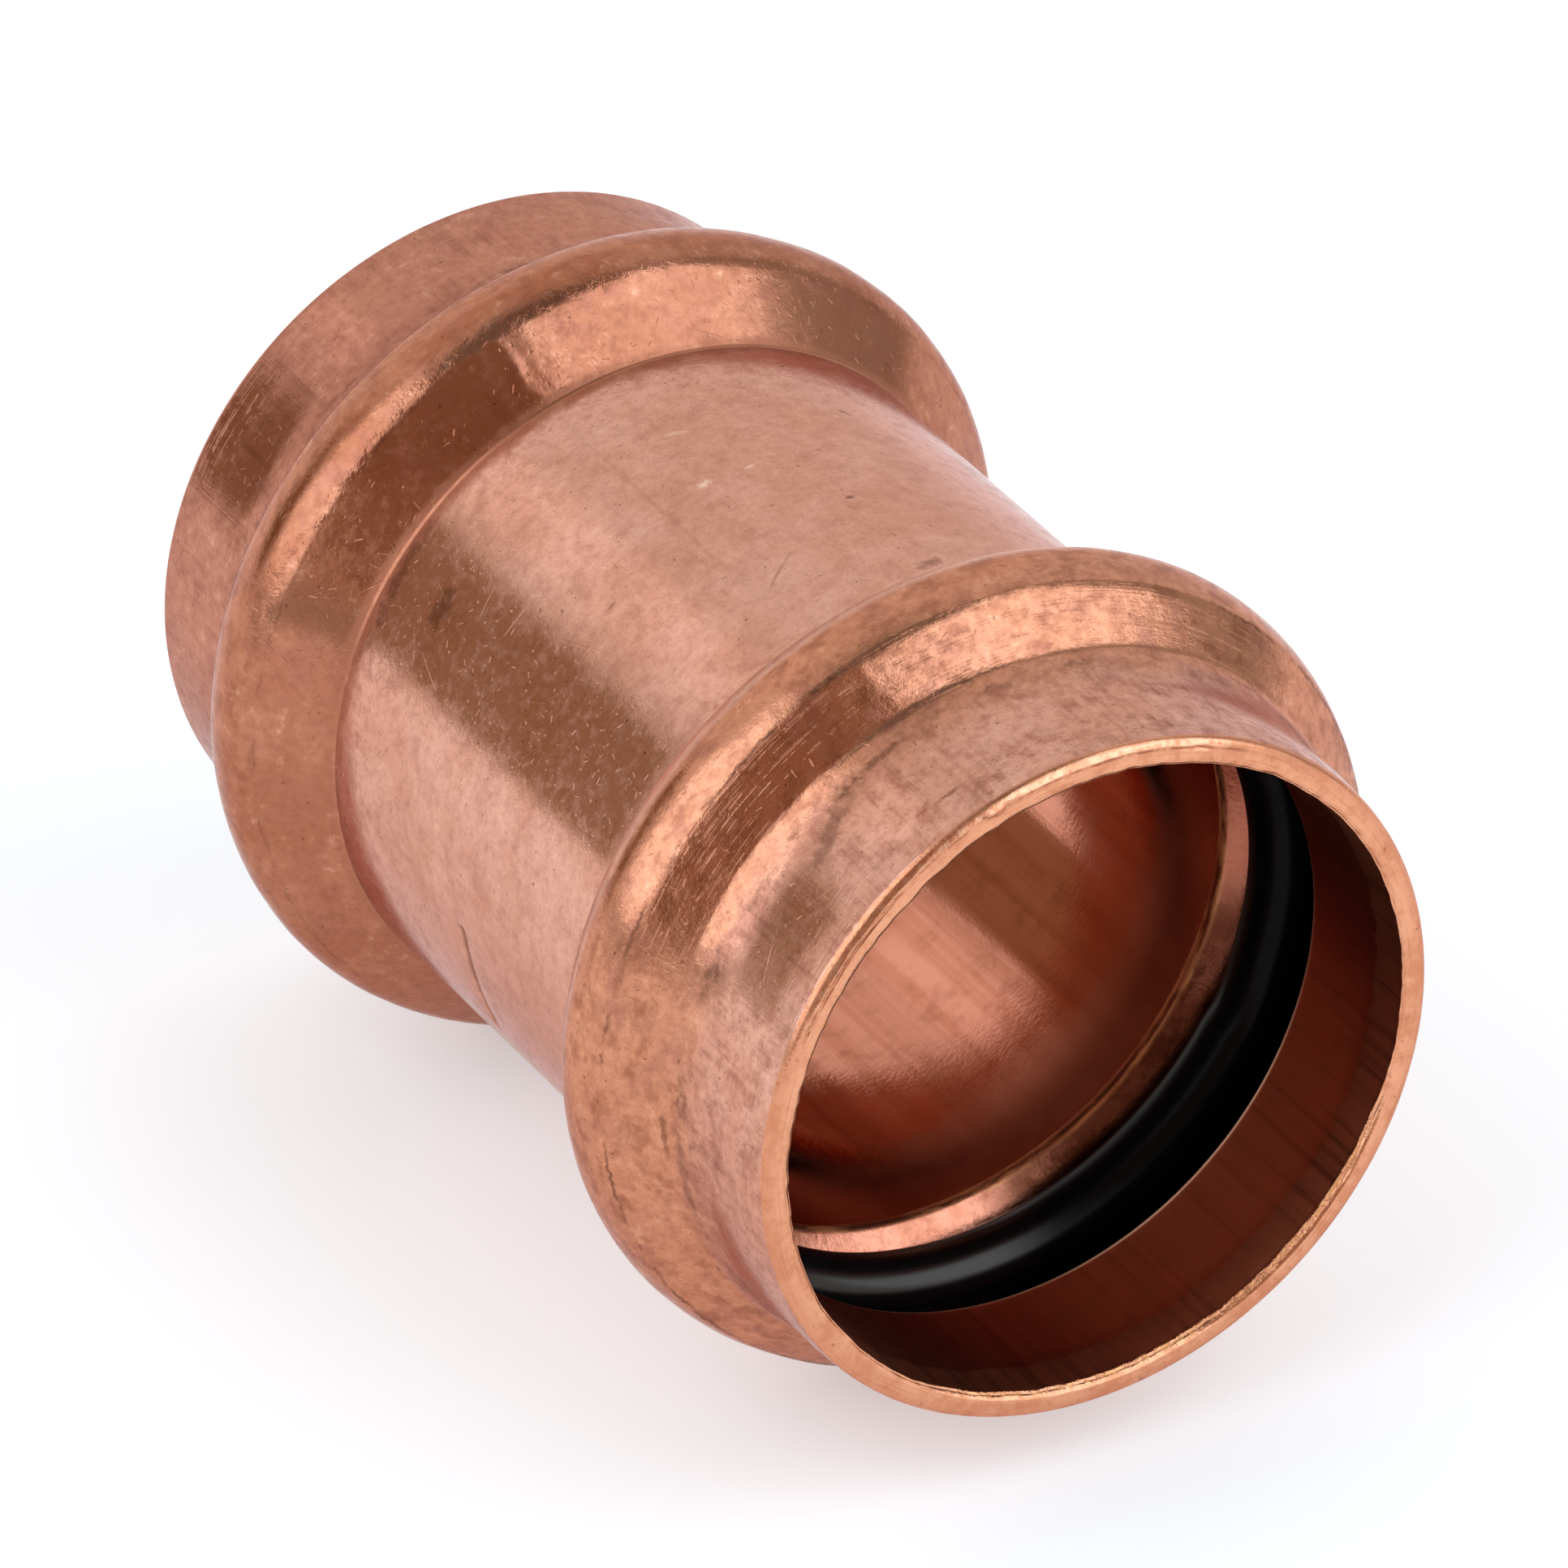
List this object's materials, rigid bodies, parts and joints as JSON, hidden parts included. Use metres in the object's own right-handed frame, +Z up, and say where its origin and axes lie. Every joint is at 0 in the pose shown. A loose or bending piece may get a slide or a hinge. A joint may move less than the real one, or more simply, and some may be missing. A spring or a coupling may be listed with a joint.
{
  "type": "straight press coupling",
  "caption": "Straight copper press coupling: a short drawn tube with a bulged bead near each end, a rubber O-ring inside each bead and dented tube stops at mid-length.",
  "frame": {"origin": "centre of the coupling on its axis, midway between the two rims, which is also where the tube stops are", "axes": "+Y along the axis, from the front rim to the rear rim; +Z up with the coupling lying on its two beads; +X to the right"},
  "size_m": [0.0372, 0.0516, 0.0372],
  "materials": {
    "copper": "drawn copper, satin, slightly dulled and mottled, with fine scratches",
    "seal_rubber": "moulded black EPDM rubber, lightly lubricated, glossy"
  },
  "bodies": {
    "root": {"coupling_body": "copper", "front_o_ring": "seal_rubber", "rear_o_ring": "seal_rubber"}
  },
  "joints": []
}
